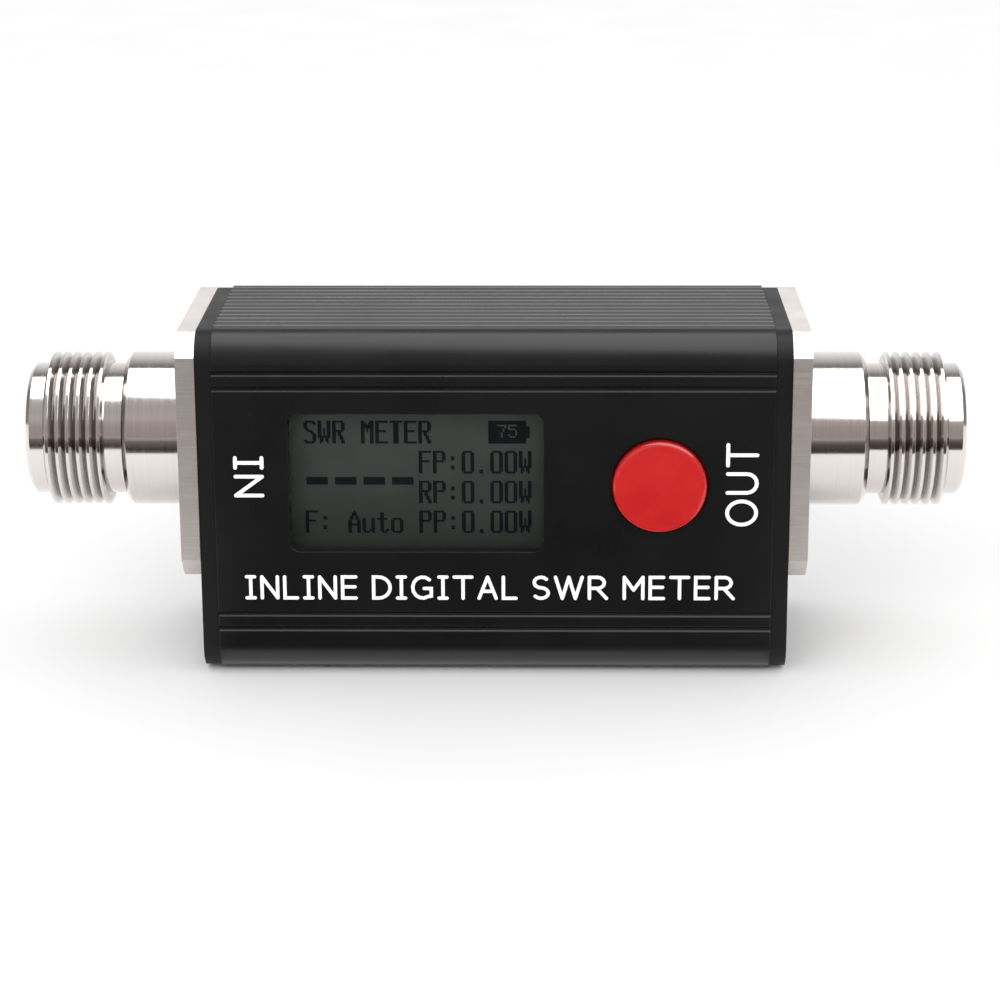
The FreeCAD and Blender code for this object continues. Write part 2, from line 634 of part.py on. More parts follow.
def glazing_tape():
    """A frame of adhesive that holds the glazing to the inside of the front wall."""
    layer = (FRONT_INNER, GLAZING_FRONT)
    sheet_of_tape = box("tape_sheet", spread(WINDOW_X, "glazing_margin"), layer,
                        spread(WINDOW_SPAN_Z, "glazing_margin"))
    opening = box("tape_opening", WINDOW_X, spread(layer, "tape_thickness"), WINDOW_SPAN_Z)
    return cut("glazing_tape", sheet_of_tape, [opening])


def display():
    """Polariser, two sheets of glass, driver chip on the rear sheet's ledge, backlight and flexible tail."""
    glass_x = spread(WINDOW_X, "glass_margin")
    low, high = spread(WINDOW_SPAN_Z, "glass_margin")
    ledge = f"({low} - ledge_height)"
    polariser = box("display_polariser", spread(WINDOW_X, "polariser_margin"),
                    (POLARISER_FRONT, FRONT_GLASS_FRONT), spread(WINDOW_SPAN_Z, "polariser_margin"))
    front_glass = box("display_front_glass", glass_x, (FRONT_GLASS_FRONT, REAR_GLASS_FRONT), (low, high))
    rear_glass = box("display_rear_glass", glass_x, (REAR_GLASS_FRONT, BACKLIGHT_FRONT), (ledge, high))
    chip_middle = f"({low} - ledge_height / 2 + chip_height / 4)"
    chip_y = (f"{REAR_GLASS_FRONT} - chip_thickness", REAR_GLASS_FRONT)
    chip = box("display_driver_chip", around("window_x", "chip_width"), chip_y,
               around(chip_middle, "chip_height"))
    backlight_block = box("backlight_block", glass_x, (BACKLIGHT_FRONT, MAIN_FRONT), (ledge, high))
    backlight = rounded("display_backlight", backlight_block, "glass_thickness", Vector(0, 1, 0))
    return [polariser, front_glass, rear_glass, chip, backlight, display_flex(ledge)]


def display_flex(ledge):
    """The flexible tail: from a pad on the ledge, down past the backlight and back to the board."""
    body = new_body("display_flex")
    shape = new_sketch(body, "flex_shape", "YZ_Plane")
    outside = f"({ledge} - 2 * flex_thickness)"
    inside = f"({ledge} - flex_thickness)"
    outline(shape, [
        (f"{REAR_GLASS_FRONT} - flex_thickness", f"{ledge} + flex_pad / 2"),
        (f"{REAR_GLASS_FRONT} - flex_thickness", outside), (f"{MAIN_FRONT}", outside),
        (f"{MAIN_FRONT}", inside), (REAR_GLASS_FRONT, inside),
        (REAR_GLASS_FRONT, f"{ledge} + flex_pad / 2"),
    ])
    pad(body, shape, "flex_width", midplane=True)
    return place(body, x="window_x")


# ---------------------------------------------------------------- push button and its switch

def turned_about_y(name, points):
    """A piece turned about the button's axis, from (radius, y) points."""
    body = new_body(name)
    shape = new_sketch(body, f"{name}_shape", "XY_Plane")
    outline(shape, points)
    return body, revolve(body, shape, "V_Axis")


def at_button(thing):
    return place(thing, x="button_x", z=BUTTON_Z)


def button_cap():
    """A flat round cap with a flange behind the panel that keeps it in."""
    body, solid = turned_about_y("button_cap", [
        ("0", BUTTON_FRONT), ("button_radius", BUTTON_FRONT), ("button_radius", BUTTON_FLANGE_FRONT),
        ("button_radius + button_flange_width", BUTTON_FLANGE_FRONT),
        ("button_radius + button_flange_width", BUTTON_FLANGE_BACK), ("0", BUTTON_FLANGE_BACK),
    ])
    doc.recompute()
    rim = [f"Edge{number}" for number, edge in enumerate(solid.Shape.Edges, start=1)
           if isinstance(edge.Curve, Part.Circle) and abs(edge.Curve.Center.y - value(BUTTON_FRONT)) < 0.01]
    dress(body, "Fillet", solid, rim, "button_edge_radius")
    return at_button(body)


def switch_plunger():
    body, _ = turned_about_y("switch_plunger", [
        ("0", BUTTON_FLANGE_BACK), ("plunger_radius", BUTTON_FLANGE_BACK),
        ("plunger_radius", PLUNGER_FOOT_FRONT), ("plunger_foot_radius", PLUNGER_FOOT_FRONT),
        ("plunger_foot_radius", PLUNGER_BACK), ("0", PLUNGER_BACK),
    ])
    return at_button(body)


def switch_dome():
    """The snap dome: a shallow cone of spring steel under the plunger's foot."""
    rim = f"({PLUNGER_BACK} + dome_rise)"
    flat = "(plunger_foot_radius / 2)"
    body, _ = turned_about_y("switch_dome", [
        ("0", PLUNGER_BACK), (flat, PLUNGER_BACK), ("dome_radius", rim),
        ("dome_radius", f"{rim} + dome_thickness"), (flat, f"{PLUNGER_BACK} + dome_thickness"),
        ("0", f"{PLUNGER_BACK} + dome_thickness"),
    ])
    return at_button(body)


def switch_housing():
    """The switch's plastic body with its well, and the metal cover with the plunger's hole."""
    block = box("switch_block", around("button_x", "switch_side"), (SWITCH_FRONT, MAIN_FRONT),
                around(BUTTON_Z, "switch_side"))
    well = rod("switch_well", "y", f"{SWITCH_FRONT} - switch_cover_thickness",
               f"({WELL_BACK}) - ({SWITCH_FRONT}) + switch_cover_thickness", "switch_well_radius",
               x="button_x", z=BUTTON_Z)
    plate = box("switch_cover_plate", around("button_x", "switch_side"), (COVER_FRONT, SWITCH_FRONT),
                around(BUTTON_Z, "switch_side"))
    hole = rod("switch_cover_hole", "y", f"{COVER_FRONT} - switch_cover_thickness",
               "3 * switch_cover_thickness", "plunger_radius + plunger_gap", x="button_x", z=BUTTON_Z)
    terminals = [
        box(f"switch_terminal_{x_sign}_{z_sign}".replace("-1", "low").replace("1", "high"),
            span(1, f"button_x + {x_sign} * (switch_side / 2 + terminal_length / 2) - terminal_length / 2",
                 f"button_x + {x_sign} * (switch_side / 2 + terminal_length / 2) + terminal_length / 2"),
            (f"{MAIN_FRONT} - terminal_thickness", MAIN_FRONT),
            around(f"({BUTTON_Z} + {z_sign} * terminal_spacing / 2)", "terminal_width"))
        for x_sign in (-1, 1) for z_sign in (-1, 1)]
    return [cut("switch_body", block, [well]), cut("switch_cover", plate, [hole]),
            group("switch_terminals", terminals)]


# ---------------------------------------------------------------- main board

def main_board():
    """The board, cleared at both ends for the connectors' spigots wherever they reach it."""
    reach = f"({TUBE_END} - board_end_gap)"
    board = box("board_block", (f"-{reach}", reach), (MAIN_FRONT, MAIN_BACK), BOARD_SPAN_Z)
    depth = "(spigot_length + spigot_clearance)"
    room = "spigot_radius + spigot_clearance"
    return cut("main_board", board, [
        rod("input_spigot_room", "x", f"-{TUBE_END}", depth, room, z=AXIS_Z),
        rod("output_spigot_room", "x", f"{TUBE_END} - {depth}", depth, room, z=AXIS_Z)])


def behind_main(name, x, z, length, height, thickness):
    """A block soldered to the back of the main board."""
    return box(name, around(x, length), (MAIN_BACK, f"{MAIN_BACK} + {thickness}"), around(z, height))


def main_board_parts():
    controller = behind_main("microcontroller", "controller_x", "controller_rise", "controller_side",
                             "controller_side", "controller_thickness")
    crystal = behind_main("crystal", "controller_x - controller_side", "controller_rise", "crystal_length",
                          "crystal_width", "crystal_thickness")
    charger = behind_main("charge_controller", f"-({TUBE_END}) + socket_length + 2 * diode_length",
                          SOCKET_Z, "diode_length", "diode_length", "small_chip_thickness")
    spacing = "2 * capacitor_width"
    capacitors = [behind_main(f"board_capacitor_{number}", "controller_x + controller_side",
                              f"(controller_rise + ({number} - 1.5) * {spacing})", "capacitor_length",
                              "capacitor_width", "capacitor_thickness") for number in range(4)]
    return [controller, crystal, charger, group("board_capacitors", capacitors)]


def charging_socket():
    """A small charging socket on the main board's end, its mouth in the input end plate."""
    mouth = f"(-{PLATE_OUTER} + socket_recess)"
    length = (mouth, f"{mouth} + socket_length")
    depth = (MAIN_BACK, f"{MAIN_BACK} + socket_depth")
    height = around(SOCKET_Z, "socket_width")
    shell = cut("charging_socket_shell", box("socket_block", length, depth, height), [
        box("socket_hollow", (f"{mouth} - socket_wall", f"{mouth} + socket_length - socket_wall"),
            spread(depth, "-socket_wall"), spread(height, "-socket_wall"))])
    middle = f"({MAIN_BACK} + socket_depth / 2)"
    tongue_length = (f"{mouth} + tongue_recess", f"{mouth} + socket_length - socket_wall")
    tongue = box("charging_socket_tongue", tongue_length, around(middle, "tongue_thickness"),
                 around(SOCKET_Z, "tongue_width"))
    return [shell, tongue]


# ---------------------------------------------------------------- battery

def battery():
    half = "(battery_length / 2)"
    upright = ("battery_rise", BATTERY_TOP)
    block = box("battery_block", (f"-{half}", half), (BATTERY_FRONT, BATTERY_BACK), upright)
    cell = rounded("battery_cell", block, "battery_radius", Vector(1, 0, 0))
    protection = box("battery_protection_board", (half, f"{half} + protection_length"),
                     (f"{BATTERY_FRONT} + battery_radius", f"{BATTERY_BACK} - battery_radius"),
                     spread(upright, "-protection_margin"))
    pad_block = box("battery_pad", (f"-{half} + pad_margin", f"{half} - pad_margin"),
                    (BATTERY_BACK, BACK_INNER), spread(upright, "-pad_margin"))
    return [cell, protection, pad_block]


PLUG_X = f"({COUPLER_END} - lead_turn_gap - plug_length / 2)"
PLUG_Z = "(lead_rise + lead_spacing / 2)"
PLUG_Y = (f"({MAIN_BACK} + plug_wall)", f"({MAIN_BACK} + plug_wall + plug_thickness)")


def battery_connector():
    """The lead's plug, and the open-fronted socket on the main board that it slides into."""
    plug = box("battery_plug", around(PLUG_X, "plug_length"), PLUG_Y, around(PLUG_Z, "plug_width"))
    tray = box("battery_socket_tray", around(PLUG_X, "plug_length"),
               (MAIN_BACK, f"{PLUG_Y[1]}"), spread(around(PLUG_Z, "plug_width"), "plug_wall"))
    room_z = spread(around(PLUG_Z, "plug_width"), "plug_clearance")
    room = box("battery_socket_room", spread(around(PLUG_X, "plug_length"), "plug_wall"),
               (PLUG_Y[0], f"{PLUG_Y[1]} + plug_wall"), room_z)
    return [plug, cut("battery_socket", tray, [room])]


def battery_lead(name, z):
    """A wire from the protection board round the coupler board's end to the plug: runs and tangent arcs."""
    start_x = value("battery_length / 2 + protection_length")
    turn_x = value(f"{COUPLER_END} + lead_turn_gap / 2")
    end_x = value(f"{PLUG_X} + plug_length / 2")
    back_y = value(f"({BATTERY_FRONT} + {BATTERY_BACK}) / 2")
    front_y = value(f"({PLUG_Y[0]} + {PLUG_Y[1]}) / 2")
    bend = value("lead_bend_radius")
    middle_z = value(z)

    def point(x, y):
        return Vector(x, y, middle_z)

    slant = bend * (1 - 0.5 ** 0.5)
    back_bend = [point(turn_x - bend, back_y), point(turn_x - slant, back_y - slant),
                 point(turn_x, back_y - bend)]
    front_bend = [point(turn_x, front_y + bend), point(turn_x - slant, front_y + slant),
                  point(turn_x - bend, front_y)]
    edges = [
        Part.LineSegment(point(start_x, back_y), back_bend[0]), Part.Arc(*back_bend),
        Part.LineSegment(back_bend[2], front_bend[0]), Part.Arc(*front_bend),
        Part.LineSegment(front_bend[2], point(end_x, front_y)),
    ]
    path = Part.Wire([edge.toShape() for edge in edges])
    section = Part.Wire(Part.makeCircle(value("lead_radius"), point(start_x, back_y), Vector(1, 0, 0)))
    lead = doc.addObject("Part::Feature", name)
    lead.Shape = path.makePipeShell([section], True, True)
    return lead


# ---------------------------------------------------------------- directional coupler

def coupler_board():
    length = (f"-{COUPLER_END}", COUPLER_END)
    return box("coupler_board", length, (COUPLER_FRONT, COUPLER_BACK), BOARD_SPAN_Z)


def through_line():
    """The copper bar that joins the two contacts' tails, on the coupler board's front."""
    return box("through_line", (f"-{LINE_END}", LINE_END), ("-tail_radius", COUPLER_FRONT),
               around(AXIS_Z, "through_width"))


def sense_line(name, sign):
    """A thin copper strip beside the through line, with a foot away from it at each end."""
    body = new_body(name)
    shape = new_sketch(body, f"{name}_shape", "XZ_Plane")
    near = f"({AXIS_Z} + {sign} * (sense_offset - sense_width / 2))"
    far = f"({AXIS_Z} + {sign} * (sense_offset + sense_width / 2))"
    foot = f"({AXIS_Z} + {sign} * (sense_offset + sense_foot))"
    half = "(sense_length / 2)"
    outline(shape, [
        (f"-{half}", near), (half, near), (half, foot), (f"{half} - sense_width", foot),
        (f"{half} - sense_width", far), (f"-{half} + sense_width", far), (f"-{half} + sense_width", foot),
        (f"-{half}", foot),
    ])
    pad(body, shape, "sense_thickness")
    # the sketch faces the front, so the strip grows forwards from the board
    return place(body, y=COUPLER_FRONT)


def before_coupler(name, x, z, length, height, thickness):
    """A block soldered to the front of the coupler board."""
    return box(name, around(x, length), (f"{COUPLER_FRONT} - {thickness}", COUPLER_FRONT), around(z, height))


def coupler_parts():
    """A termination resistor at one end of each sense line, a detector diode and filter at the other."""
    resistors, diodes, capacitors = [], [], []
    for label, sign in (("forward", 1), ("reflected", -1)):
        foot_x = "(sense_length / 2 - sense_width / 2)"
        foot_z = f"{AXIS_Z} + {sign} * (sense_offset + sense_foot"
        resistors.append(before_coupler(f"{label}_resistor", f"({sign} * {foot_x})",
                                        f"({foot_z} + resistor_width / 2))", "resistor_length",
                                        "resistor_width", "resistor_thickness"))
        diodes.append(before_coupler(f"{label}_diode", f"({-sign} * {foot_x})",
                                     f"({foot_z} + diode_width / 2))", "diode_length", "diode_width",
                                     "diode_thickness"))
        capacitors.append(before_coupler(f"{label}_capacitor", f"({-sign} * ({foot_x} - 2 * diode_length))",
                                         f"({foot_z} + capacitor_width / 2))", "capacitor_length",
                                         "capacitor_width", "capacitor_thickness"))
    return [group("termination_resistors", resistors), group("detector_diodes", diodes),
            group("filter_capacitors", capacitors)]


def link_header():
    """Pins that join the two boards, in an insulating housing on the main board."""
    row_length = "(link_pin_count * link_pitch)"
    housing_y = (MAIN_BACK, f"{MAIN_BACK} + link_housing_thickness")
    housing = box("link_housing", around("0", row_length), housing_y, around("link_rise", "link_width"))
    pins = []
    holes = []
    for number in range(int(value("link_pin_count"))):
        x = f"(({number} + 0.5) * link_pitch - {row_length} / 2)"
        pins.append(box(f"link_pin_{number}", around(x, "link_pin_side"), (MAIN_BACK, COUPLER_FRONT),
                        around("link_rise", "link_pin_side")))
        holes.append(box(f"link_pin_hole_{number}", around(x, "link_pin_side"),
                         spread(housing_y, "wall"), around("link_rise", "link_pin_side")))
    return [cut("link_header_housing", housing, holes), group("link_header_pins", pins)]


# ---------------------------------------------------------------- the whole meter

parts = [case_tube()]
for end in SIDES:
    parts += [end_plate(end), *screws(end)]
    parts += [connector_body(end), connector_insulator(end), connector_contact(end)]
parts += [window_glazing(), glazing_tape(), *display()]
parts += [button_cap(), switch_plunger(), switch_dome(), *switch_housing()]
parts += [main_board(), *main_board_parts(), *charging_socket()]
parts += [*battery(), *battery_connector()]
parts += [battery_lead("battery_lead_positive", "lead_rise + lead_spacing"),
          battery_lead("battery_lead_negative", "lead_rise")]
parts += [coupler_board(), through_line(), sense_line("forward_sense_line", 1),
          sense_line("reflected_sense_line", -1), *coupler_parts(), *link_header()]
doc.recompute()

broken = [thing.Name for thing in doc.Objects if {"Invalid", "Error"} & set(thing.State)]
broken += [part.Name for part in parts if part.Shape.isNull() or not part.Shape.isValid()]
if broken:
    raise RuntimeError(f"these did not build: {broken}")

os.makedirs("parts", exist_ok=True)
for part in parts:
    part.Shape.exportStep(f"parts/{part.Label}.step")
print(f"{len(parts)} nodes written")
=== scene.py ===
"""Looks of the in-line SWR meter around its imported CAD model: materials for every node, the printed
words, the display's picture, the studio and the camera. Metres, in the model's own frame."""
import json
import math

import bmesh
import bpy
from mathutils import Matrix, Vector


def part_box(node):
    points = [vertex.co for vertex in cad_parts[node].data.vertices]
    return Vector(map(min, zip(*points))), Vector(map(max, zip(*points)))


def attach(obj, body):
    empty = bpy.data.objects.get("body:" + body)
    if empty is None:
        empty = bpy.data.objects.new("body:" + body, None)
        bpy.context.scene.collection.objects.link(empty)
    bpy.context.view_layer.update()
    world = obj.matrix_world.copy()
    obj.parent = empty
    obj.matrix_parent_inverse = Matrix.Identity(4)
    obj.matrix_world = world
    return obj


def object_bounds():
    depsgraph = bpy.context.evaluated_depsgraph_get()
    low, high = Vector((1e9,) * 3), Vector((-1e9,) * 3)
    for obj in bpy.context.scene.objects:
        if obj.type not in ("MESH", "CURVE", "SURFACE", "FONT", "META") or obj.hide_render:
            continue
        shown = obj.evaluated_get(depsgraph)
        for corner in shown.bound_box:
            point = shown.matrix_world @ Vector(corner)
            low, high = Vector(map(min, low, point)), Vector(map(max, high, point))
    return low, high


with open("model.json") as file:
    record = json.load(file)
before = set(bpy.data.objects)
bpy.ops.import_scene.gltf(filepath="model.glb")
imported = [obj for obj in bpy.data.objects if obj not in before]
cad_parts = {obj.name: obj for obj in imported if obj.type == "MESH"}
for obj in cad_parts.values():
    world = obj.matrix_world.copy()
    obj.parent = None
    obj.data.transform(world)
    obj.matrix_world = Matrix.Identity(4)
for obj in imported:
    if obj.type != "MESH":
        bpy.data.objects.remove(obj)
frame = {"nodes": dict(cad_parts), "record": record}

CAD_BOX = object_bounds()
MM = 0.001
scene = bpy.context.scene
scene.view_settings.view_transform = "Standard"


# ---------------------------------------------------------------- camera

CAMERA_PLACE = Vector((5.55, -286.1, 100.0)) * MM
CAMERA_YAW, CAMERA_PITCH, CAMERA_ROLL = -0.018, 0.289, -0.004
CAMERA_LENS, SENSOR_WIDTH = 102.2, 36.0


def make_camera():
    """A long lens that looks a little down on the front panel."""
    data = bpy.data.cameras.new("camera")
    data.lens = CAMERA_LENS
    data.sensor_width = SENSOR_WIDTH
    data.clip_start = 0.01
    data.clip_end = 20
    camera = bpy.data.objects.new("camera", data)
    scene.collection.objects.link(camera)
    scene.camera = camera
    level = math.cos(CAMERA_PITCH)
    forward = Vector((math.sin(CAMERA_YAW) * level, math.cos(CAMERA_YAW) * level, -math.sin(CAMERA_PITCH)))
    right = Vector((math.cos(CAMERA_YAW), -math.sin(CAMERA_YAW), 0))
    up = right.cross(forward)
    side = right * math.cos(CAMERA_ROLL) + up * math.sin(CAMERA_ROLL)
    top = up * math.cos(CAMERA_ROLL) - right * math.sin(CAMERA_ROLL)
    turn = Matrix((side, top, -forward)).transposed().to_4x4()
    camera.matrix_world = Matrix.Translation(CAMERA_PLACE) @ turn


make_camera()


# ---------------------------------------------------------------- materials: building blocks

def link(material, output, target):
    material.node_tree.links.new(output, target)


def add_node(material, kind, values=None, **settings):
    """A new node with some of its settings and unlinked sockets set."""
    made = material.node_tree.nodes.new(kind)
    for name, setting in settings.items():
        setattr(made, name, setting)
    for name, number in (values or {}).items():
        made.inputs[name].default_value = number
    return made


def shader_of(material):
    return material.node_tree.nodes["Principled BSDF"]


def new_material(name, colour, roughness, metallic=0.0, **sockets):
    """A Principled material. Names of sockets are written with underscores for spaces."""
    material = bpy.data.materials.new(name)
    material.use_nodes = True
    shader = shader_of(material)
    shader.inputs["Base Color"].default_value = (*colour, 1)
    shader.inputs["Roughness"].default_value = roughness
    shader.inputs["Metallic"].default_value = metallic
    for socket, number in sockets.items():
        shader.inputs[socket.replace("_", " ")].default_value = number
    return material


def position(material):
    return add_node(material, "ShaderNodeTexCoord").outputs["Object"]


def coordinate(material, axis):
    """A point's X, Y or Z in the model's frame."""
    apart = add_node(material, "ShaderNodeSeparateXYZ")
    link(material, position(material), apart.inputs["Vector"])
    return apart.outputs[axis]


def maths(material, operation, *values):
    """The result of a Math node. Each value is a number or another node's output."""
    node = add_node(material, "ShaderNodeMath", operation=operation)
    for socket, value in zip(node.inputs, values):
        if isinstance(value, bpy.types.NodeSocket):
            link(material, value, socket)
        else:
            socket.default_value = value
    return node.outputs["Value"]


def fade(material, value, start, end, low, high):
    """Runs from low to high while a value runs from start to end."""
    run = add_node(material, "ShaderNodeMapRange",
                   {"From Min": start, "From Max": end, "To Min": low, "To Max": high})
    link(material, value, run.inputs["Value"])
    return run.outputs["Result"]


def blend(material, share, first, second):
    """Goes from the first pattern to the second as the share goes from 0 to 1."""
    mix = add_node(material, "ShaderNodeMix", data_type="FLOAT")
    link(material, share, mix.inputs["Factor"])
    link(material, first, mix.inputs["A"])
    link(material, second, mix.inputs["B"])
    return mix.outputs["Result"]


def grain(material, size, stretch=(1, 1, 1), detail=2.0):
    """Noise with features about this many millimetres across, each side times its stretch."""
    scaling = add_node(material, "ShaderNodeMapping",
                       {"Scale": [1 / (size * MM * longer) for longer in stretch]})
    noise = add_node(material, "ShaderNodeTexNoise", {"Scale": 1.0, "Detail": detail})
    link(material, position(material), scaling.inputs["Vector"])
    link(material, scaling.outputs["Vector"], noise.inputs["Vector"])
    return noise.outputs["Fac"]


# Most of a noise pattern lies between these two values.
NOISE_LOW, NOISE_HIGH = 0.3, 0.7
# The two colours and the result of a colour Mix node, whose names other sockets share.
COLOUR_A, COLOUR_B, COLOUR_RESULT = 6, 7, 2


def spread_out(material, pattern, low, high):
    """The pattern's middle range stretched from low to high."""
    return fade(material, pattern, NOISE_LOW, NOISE_HIGH, low, high)


def shade(colour, share):
    return tuple(channel * share for channel in colour)


def vary_colour(material, pattern, low, high):
    """Blends the base colour from low to high over the pattern."""
    mix = add_node(material, "ShaderNodeMix", data_type="RGBA")
    mix.inputs[COLOUR_A].default_value = (*low, 1)
    mix.inputs[COLOUR_B].default_value = (*high, 1)
    link(material, spread_out(material, pattern, 0, 1), mix.inputs["Factor"])
    link(material, mix.outputs[COLOUR_RESULT], shader_of(material).inputs["Base Color"])


def tint(material, colour, share):
    """Blends the base colour, as it is so far, towards another by a pattern's share."""
    base = shader_of(material).inputs["Base Color"]
    mix = add_node(material, "ShaderNodeMix", data_type="RGBA")
    link(material, base.links[0].from_socket, mix.inputs[COLOUR_A])
    mix.inputs[COLOUR_B].default_value = (*colour, 1)
    link(material, share, mix.inputs["Factor"])
    link(material, mix.outputs[COLOUR_RESULT], base)


def vary_roughness(material, pattern, low, high):
    link(material, spread_out(material, pattern, low, high), shader_of(material).inputs["Roughness"])


def add_bump(material, pattern, height):
    """Raises the surface by the pattern, height in millimetres, on top of any bump before."""
    bump = add_node(material, "ShaderNodeBump", {"Strength": 1.0, "Distance": height * MM})
    normal = shader_of(material).inputs["Normal"]
    if normal.is_linked:
        link(material, normal.links[0].from_socket, bump.inputs["Normal"])
    link(material, pattern, bump.inputs["Height"])
    link(material, bump.outputs["Normal"], normal)
    return bump


def soften_edges(material, radius):
    """Lets sharp edges catch the light as if they were rounded by a radius in millimetres."""
    rounded = add_node(material, "ShaderNodeBevel", {"Radius": radius * MM}, samples=6)
    link(material, rounded.outputs["Normal"], shader_of(material).inputs["Normal"])


def finish(name, colour, roughness, metallic=0.0, size=0.3, stretch=(1, 1, 1), change=0.12,
           rough_change=0.05, height=0.003, **sockets):
    """A material whose colour, gloss and surface all vary a little over one grain."""
    material = new_material(name, colour, roughness, metallic, **sockets)
    pattern = grain(material, size, stretch)
    vary_colour(material, pattern, shade(colour, 1 - change), shade(colour, 1 + change))
    vary_roughness(material, pattern, roughness - rough_change, roughness + rough_change)
    add_bump(material, pattern, height)
    return material


# ---------------------------------------------------------------- materials of the case and panel

def black_anodised():
    """Extruded, lightly blasted and anodised aluminium: satin, with faint die lines along X."""
    material = new_material("black_anodised", (0.006, 0.006, 0.0062), 0.29, Specular_IOR_Level=0.4)
    soften_edges(material, 0.14)
    blasted = grain(material, 0.07)
    drawn = grain(material, 0.22, (90, 1, 1))
    clouds = grain(material, 9.0)
    vary_colour(material, clouds, (0.0054, 0.0054, 0.0056), (0.0068, 0.0068, 0.007))
    vary_roughness(material, clouds, 0.26, 0.32)
    add_bump(material, blasted, 0.004)
    add_bump(material, drawn, 0.002)
    return material


def black_plate():
    """The end plates: milled edges and a blasted, anodised face."""
    material = new_material("black_plate", (0.007, 0.007, 0.0074), 0.45, Specular_IOR_Level=0.2)
    soften_edges(material, 0.1)
    blasted = grain(material, 0.09)
    vary_colour(material, blasted, (0.006, 0.006, 0.0064), (0.01, 0.01, 0.0106))
    vary_roughness(material, grain(material, 5.0), 0.4, 0.5)
    add_bump(material, blasted, 0.004)
    return material


def red_button():
    """Glossy moulded plastic with a very faint orange peel."""
    material = new_material("red_button", (0.48, 0.012, 0.013), 0.16, Coat_Weight=0.4, Coat_Roughness=0.05)
    soften_edges(material, 0.1)
    vary_colour(material, grain(material, 2.5), (0.45, 0.010, 0.011), (0.51, 0.014, 0.015))
    vary_roughness(material, grain(material, 1.2), 0.13, 0.2)
    add_bump(material, grain(material, 0.9), 0.0012)
    return material


def white_print():
    """Screen printed ink, a little uneven."""
    material = new_material("white_print", (0.92, 0.92, 0.92), 0.5)
    speckle = grain(material, 0.12)
    vary_colour(material, speckle, (0.86, 0.86, 0.86), (0.96, 0.96, 0.96))
    vary_roughness(material, speckle, 0.45, 0.6)
    add_bump(material, speckle, 0.002)
    return material


# ---------------------------------------------------------------- materials of the connectors

BARREL_REACH = 8.3 * MM
LIP_LENGTH, THREAD_LENGTH, THREAD_ROOT, THREAD_CREST = 1.9 * MM, 6.1 * MM, 7.33 * MM, 7.86 * MM


def distance_from_axis(material):
    """How far a point is from the axis that both connectors share."""
    low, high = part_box("output_connector_body")
    risen = maths(material, "SUBTRACT", coordinate(material, "Z"), (low.z + high.z) / 2)
    across = add_node(material, "ShaderNodeCombineXYZ")
    link(material, coordinate(material, "Y"), across.inputs["Y"])
    link(material, risen, across.inputs["Z"])
    radius = add_node(material, "ShaderNodeVectorMath", operation="LENGTH")
    link(material, across.outputs["Vector"], radius.inputs[0])
    return radius.outputs["Value"]


def painted_groove_shade_share(material, radius):
    """How much painted shade darkens a point in a groove of the coupling thread, more towards the root, and 0
    off the thread.
    """
    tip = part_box("output_connector_body")[1].x
    middle = tip - (LIP_LENGTH + THREAD_LENGTH / 2)
    outwards = maths(material, "ABSOLUTE", coordinate(material, "X"))
    on_thread = maths(material, "COMPARE", outwards, middle, THREAD_LENGTH / 2)
    depth = fade(material, radius, THREAD_ROOT, THREAD_CREST, 0.6, 0.0)
    return maths(material, "MULTIPLY", depth, on_thread)


def nickel():
    """Polished and turned round the axis, brushed on the square flange, with painted shade darkening the
    thread's grooves.
    """
    bright, painted_groove_shade = (0.80, 0.755, 0.73), (0.10, 0.08, 0.07)
    material = new_material("nickel", bright, 0.14, 1.0)
    soften_edges(material, 0.07)
    radius = distance_from_axis(material)
    on_flange = maths(material, "GREATER_THAN", radius, BARREL_REACH)
    rings = grain(material, 0.05, (1, 400, 400))
    brushed = grain(material, 0.09, (25, 25, 1))
    pattern = blend(material, on_flange, rings, brushed)
    rough = blend(material, on_flange, spread_out(material, rings, 0.08, 0.14),
                  spread_out(material, brushed, 0.42, 0.52))
    link(material, rough, shader_of(material).inputs["Roughness"])
    turned_depth, brushed_depth = 0.0005, 0.006
    bump = add_bump(material, pattern, turned_depth)
    link(material, fade(material, on_flange, 0, 1, turned_depth * MM, brushed_depth * MM),
         bump.inputs["Distance"])
    vary_colour(material, pattern, shade(bright, 0.94), shade(bright, 1.04))
    # Painted shade: the base colour darkens towards the roots of the thread's grooves.
    tint(material, painted_groove_shade, painted_groove_shade_share(material, radius))
    return material


def gold_contact():
    return finish("gold_contact", (0.95, 0.66, 0.26), 0.2, 1.0, size=0.05, stretch=(1, 60, 60), height=0.0008)


def screw_steel():
    return finish("screw_steel", (0.62, 0.62, 0.64), 0.28, 1.0, size=0.2, height=0.002, change=0.08)


def black_screw():
    return finish("black_screw", (0.02, 0.02, 0.022), 0.36, 0.8, size=0.15, height=0.003, change=0.3)


def white_insulator():
    return finish("white_insulator", (0.84, 0.84, 0.81), 0.38, size=0.4, stretch=(0.2, 3, 3),
                  change=0.03, height=0.0015)


# ---------------------------------------------------------------- materials of the display

HEAD_ON_REFLECTION = 0.022


